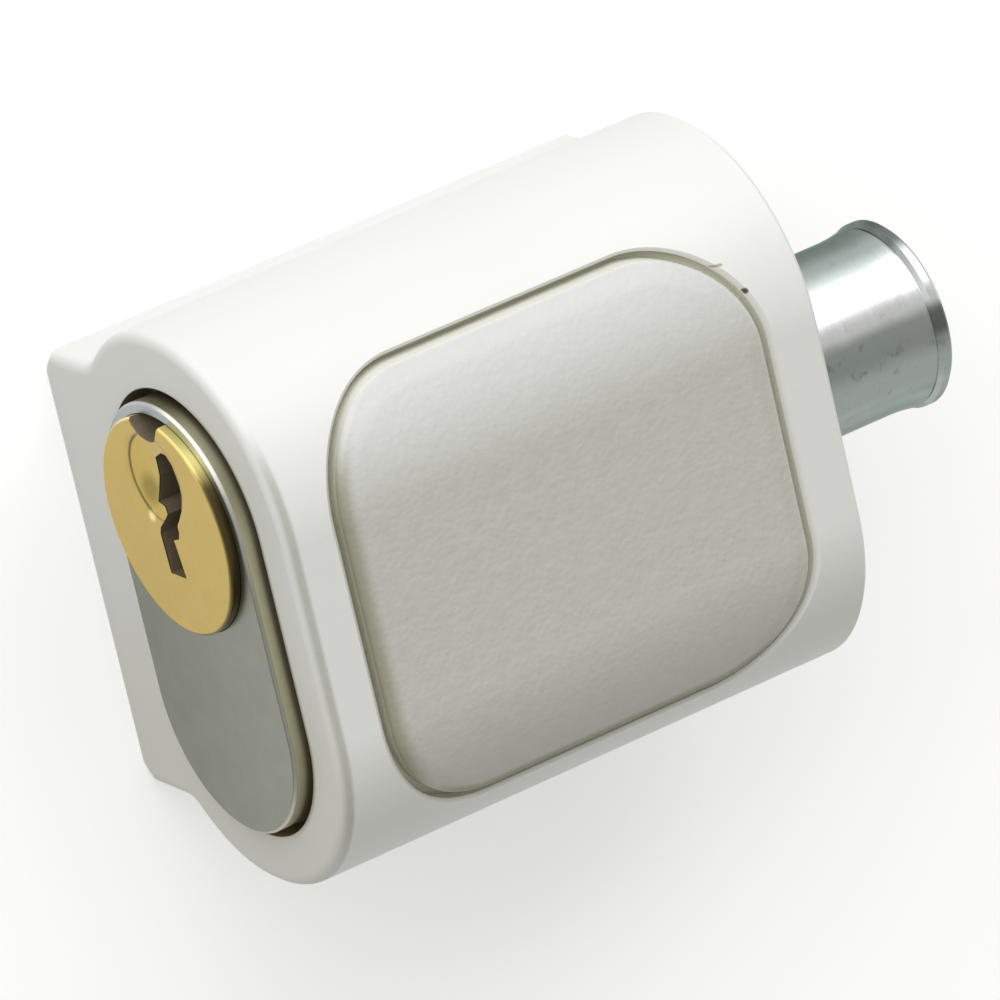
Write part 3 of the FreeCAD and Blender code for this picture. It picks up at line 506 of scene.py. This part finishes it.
def zinc_plated():
    """Turned steel with clear zinc plating: rings along the bolt and a cool, patchy tint.

    A painted reflection runs along the bolt, told by the angle round its axis from the cover's side
    towards the plug's side: a bright band with darker bands beside it, greener away from the band,
    and stains, most just under the band. The lip has painted shade in two places round it. The end
    and its dish have turning rings about their middle instead.
    """
    f = Finish("zinc_plated", Metallic=1.0, Specular_Tint=rgb(0.42, 0.48, 0.42))
    reach = f.y.apart(f.z - BOLT_Z)
    from_tip = f.x - bolt_high.x
    dish = mm_step(from_tip, -LIP_LENGTH, -LIP_LENGTH + 0.1) * (1 - mm_step(reach, 6.1, 6.2))
    end = mm_step(from_tip, -0.1, -0.02).at_least(dish)
    around = f.node("ShaderNodeCombineXYZ", 0, {}, {"X": reach})
    rings = f.noise(5.0, 4.0, 0.6, f.stretched(1.0, 0.03, 0.03))
    rings = rings + (f.noise(3.0, 4.0, 0.6, around) - rings) * end
    tint = f.noise(0.25, 3.0)
    stain = f.noise(0.9, 4.0, 0.6).step(0.55, 0.75)
    # Painted reflection: the tone follows the angle round the axis, a bright band with darker bands
    # beside it.
    angle = f.y.turn(f.z - BOLT_Z) + (tint - 0.5) * 6.0
    tone_and_reflection = angle.profile((-62.0, 0.58), (-48.0, 0.48), (-38.0, 0.48), (-30.0, 0.70), (-16.0, 0.70),
                         (2.0, 0.47), (12.0, 0.49), (21.0, 0.96), (30.0, 0.90), (55.0, 0.66),
                         (70.0, 0.40), (86.0, 0.27), (100.0, 0.27), (135.0, 0.58))
    # Painted shade on the lip in two places.
    lip = mm_step(from_tip, -LIP_LENGTH - 0.1, -LIP_LENGTH + 0.05)
    shaded = angle.profile((-30.0, 0.0), (-4.0, 0.1), (4.0, 1.0), (14.0, 1.0), (22.0, 0.0),
                           (54.0, 0.0), (66.0, 1.0), (84.0, 0.8), (100.0, 0.2))
    tone_and_reflection = tone_and_reflection * (1 - lip * shaded * 0.55)
    tone_and_reflection = tone_and_reflection + (0.55 + rings * 0.2 - tone_and_reflection) * end
    # Painted reflection tint: greener away from the bright band.
    off_band = (angle - 35.0).size().step(12.0, 27.0).at_least(end)
    tinge = f.blend(off_band, rgb(0.96, 0.98, 1.0), rgb(0.85, 0.99, 0.945))
    tinge = f.blend(tint * 0.5, tinge, rgb(1.0, 1.0, 1.0))
    colour = f.blend(tone_and_reflection, rgb(0.0, 0.0, 0.0), tinge)
    dull = 1 - (angle - 2.0).size().step(9.0, 22.0)
    colour = f.blend(stain * (0.25 + dull * 0.3), colour, rgb(0.19, 0.20, 0.165))
    rough = 0.22 + rings * 0.12
    return f.feed(Base_Color=colour, Roughness=rough, Normal=f.relief(rings, 0.006, 0.7))


def plain_metal(name, dark, light, rough_low, rough_high):
    """Metal of an inner piece: a mottled tone and fine marks."""
    f = Finish(name, Metallic=1.0)
    mottle = f.noise(0.8, 3.0)
    fine = f.noise(8.0, 4.0, 0.6)
    colour = f.blend(mottle, rgb(*dark), rgb(*light))
    rough = rough_low + fine * (rough_high - rough_low)
    return f.feed(Base_Color=colour, Roughness=rough, Normal=f.relief(fine, 0.008, 0.6))


def dress(material, *nodes):
    for node in nodes:
        shape = frame["nodes"][node]
        shape.data.materials.clear()
        shape.data.materials.append(material)


def wound_wire(node, axis, wire, turns, material):
    """Coil spring in place of a node's plain one, filling the node's box from end to end.

    Its middle line is a helix: centre + radius (cos a, sin a) across the axis + rate a along it.
    Round each of its points lies a circle of the wire's radius, square to the line, and a flat
    fan closes each end of the wire.
    """
    low, high = (np.array(corner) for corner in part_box(node))
    across = np.array([(0.0, 1.0, 0.0), (1.0, 0.0, 0.0)][axis])
    along = np.eye(3)[axis]
    other = np.cross(along, across)
    middle = (low + high) / 2
    start = middle + along * (low[axis] + wire / 2 - middle[axis])
    radius = (high[2] - low[2] - wire) / 2
    rate = (high[axis] - low[axis] - wire) / (2 * math.pi * turns)
    a = np.linspace(0.0, 2 * math.pi * turns, turns * WIRE_STEPS + 1)[:, None]
    outward = across * np.cos(a) + other * np.sin(a)
    line = start + outward * radius + along * rate * a
    tangent = (other * np.cos(a) - across * np.sin(a)) * radius + along * rate
    tangent /= np.linalg.norm(tangent, axis=1, keepdims=True)
    binormal = np.cross(tangent, outward)
    b = np.arange(WIRE_SIDES) * (2 * math.pi / WIRE_SIDES)
    rim = outward[:, None] * np.cos(b)[None, :, None] + binormal[:, None] * np.sin(b)[None, :, None]
    points = np.concatenate([(line[:, None] + rim * wire / 2).reshape(-1, 3), line[[0, -1]]])
    row, column = np.meshgrid(np.arange(len(line) - 1), np.arange(WIRE_SIDES), indexing="ij")
    here = row * WIRE_SIDES + column
    beside = row * WIRE_SIDES + (column + 1) % WIRE_SIDES
    sides = np.stack([here, beside, beside + WIRE_SIDES, here + WIRE_SIDES], axis=-1).reshape(-1, 4)
    ring = np.arange(WIRE_SIDES)
    following = (ring + 1) % WIRE_SIDES
    last = (len(line) - 1) * WIRE_SIDES
    first_fan = np.stack([np.full_like(ring, len(points) - 2), following, ring], axis=-1)
    last_fan = np.stack([np.full_like(ring, len(points) - 1), last + ring, last + following],
                        axis=-1)
    mesh = bpy.data.meshes.new(node + "_wire")
    mesh.from_pydata(points.tolist(), [], sides.tolist() + first_fan.tolist() + last_fan.tolist())
    mesh.polygons.foreach_set("use_smooth", [True] * len(sides) + [False] * (2 * WIRE_SIDES))
    mesh.materials.append(material)
    spring = bpy.data.objects.new(node + "_wire", mesh)
    bpy.context.scene.collection.objects.link(spring)
    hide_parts(node)
    return spring


def add_springs(material):
    """Coiled wire in place of each spring that the record's joints list as deforming nodes.

    The latch's and the pins' springs go with the carriage. The share of their length that the
    travel leaves between their fixed end and the piece that they press on is worked out, but
    nothing shortens them.
    """
    for joint in frame["record"]["behaviour"]["joints"]:
        for part in joint.get("deforming_nodes", []):
            node = part["node"]
            if node == "return_spring":
                spring = wound_wire(node, 0, RETURN_WIRE, RETURN_TURNS, material)
                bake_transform(spring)
            elif part["mode"] == "scale_y":
                latch = node == "latch_spring"
                wire, turns = (LATCH_WIRE, LATCH_TURNS) if latch else (PIN_WIRE, PIN_TURNS)
                spring = wound_wire(node, 1, wire, turns, material)
                foot = part["fixed_end_y_m"]
                travel = max(abs(limit) for limit in joint["range_m"])
                keep = 1 - travel / (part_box(node)[1].y + SEAT_GAP - foot)
                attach(spring, "carriage")
                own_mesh(spring)


def add_lamp():
    """Soft box of a given brightness; its watts follow from its area."""
    lamp = bpy.data.lights.new("window", "AREA")
    lamp.shape = "RECTANGLE"
    lamp.size = LAMP_WIDTH
    lamp.size_y = LAMP_HEIGHT
    lamp.energy = LAMP_RADIANCE * math.pi * LAMP_WIDTH * LAMP_HEIGHT
    lamp.color = LAMP_COLOUR
    holder = bpy.data.objects.new("window", lamp)
    bpy.context.scene.collection.objects.link(holder)
    holder.location = LAMP_PLACE
    holder.rotation_mode = "QUATERNION"
    holder.rotation_quaternion = (LAMP_AIM - LAMP_PLACE).to_track_quat("-Z", "Y")


def add_floor():
    """Plain pale floor: white to the camera and in gloss, a softer grey to bounced light."""
    mesh = bpy.data.meshes.new("floor")
    corners = [(x * FLOOR_HALF, y * FLOOR_HALF, 0) for x, y in ((-1, -1), (1, -1), (1, 1), (-1, 1))]
    mesh.from_pydata(corners, [], [(0, 1, 2, 3)])
    floor = bpy.data.objects.new("floor", mesh)
    bpy.context.scene.collection.objects.link(floor)
    f = Finish("floor_pale", Roughness=0.9, Emission_Strength=FLOOR_GLOW)
    path = f.tree.nodes.new("ShaderNodeLightPath")
    seen = Field(f, path.outputs["Is Camera Ray"]).at_least(Field(f, path.outputs["Is Glossy Ray"]))
    seen = seen.at_least(Field(f, path.outputs["Is Transmission Ray"]))
    cloud = f.noise(0.02, 2.0)
    grey = f.blend(cloud, rgb(0.49, 0.49, 0.49), rgb(0.51, 0.51, 0.51))
    colour = f.blend(seen, grey, rgb(0.92, 0.92, 0.92))
    glow = f.blend(seen, rgb(0.0, 0.0, 0.0), rgb(1.0, 1.0, 1.0))
    mesh.materials.append(f.feed(Base_Color=colour, Emission_Color=glow))


def add_world():
    world = bpy.data.worlds.new("studio")
    bpy.context.scene.world = world
    world.use_nodes = True
    background = world.node_tree.nodes["Background"]
    background.inputs["Color"].default_value = SKY_COLOUR
    background.inputs["Strength"].default_value = SKY_STRENGTH


def add_camera():
    data = bpy.data.cameras.new("camera")
    data.lens = LENS
    data.sensor_width = SENSOR
    data.clip_start = NEAREST
    data.clip_end = FARTHEST
    camera = bpy.data.objects.new("camera", data)
    bpy.context.scene.collection.objects.link(camera)
    back = (CAMERA_PLACE - CAMERA_AIM).normalized()
    right = (CAMERA_RIGHT - back * CAMERA_RIGHT.dot(back)).normalized()
    up = back.cross(right)
    turn = Matrix((right, up, back)).transposed().to_4x4()
    camera.matrix_world = Matrix.Translation(CAMERA_PLACE) @ turn
    bpy.context.scene.camera = camera


dress(coated_white(), "housing")
dress(grained_plastic(), "cover_panel")
dress(satin_nickel(), "cylinder_body")
dress(plug_brass(), "plug")
dress(zinc_plated(), "bolt")
dress(plain_metal("pin_brass", (0.60, 0.44, 0.18), (0.72, 0.55, 0.26), 0.25, 0.4),
      "chamber_strip", *["key_pin_%d" % n for n in PINS], *["driver_pin_%d" % n for n in PINS])
spring_steel = plain_metal("spring_steel", (0.36, 0.36, 0.37), (0.46, 0.46, 0.47), 0.25, 0.4)
dress(spring_steel, "return_spring", "latch_spring", "catch_leaf", "plug_clip",
      *["pin_spring_%d" % n for n in PINS])
add_springs(spring_steel)
dress(plain_metal("hardened_steel", (0.30, 0.30, 0.31), (0.40, 0.40, 0.41), 0.3, 0.45),
      "latch", "withdrawing_cam", "bolt_pin")
dress(plain_metal("screw_steel", (0.48, 0.48, 0.47), (0.58, 0.58, 0.57), 0.25, 0.4),
      "carrier_screws")
dress(plain_metal("zinc_casting", (0.42, 0.42, 0.44), (0.54, 0.54, 0.56), 0.4, 0.6),
      "bolt_carrier")

add_floor()
add_world()
add_lamp()
add_camera()
bpy.context.scene.view_settings.view_transform = "Standard"
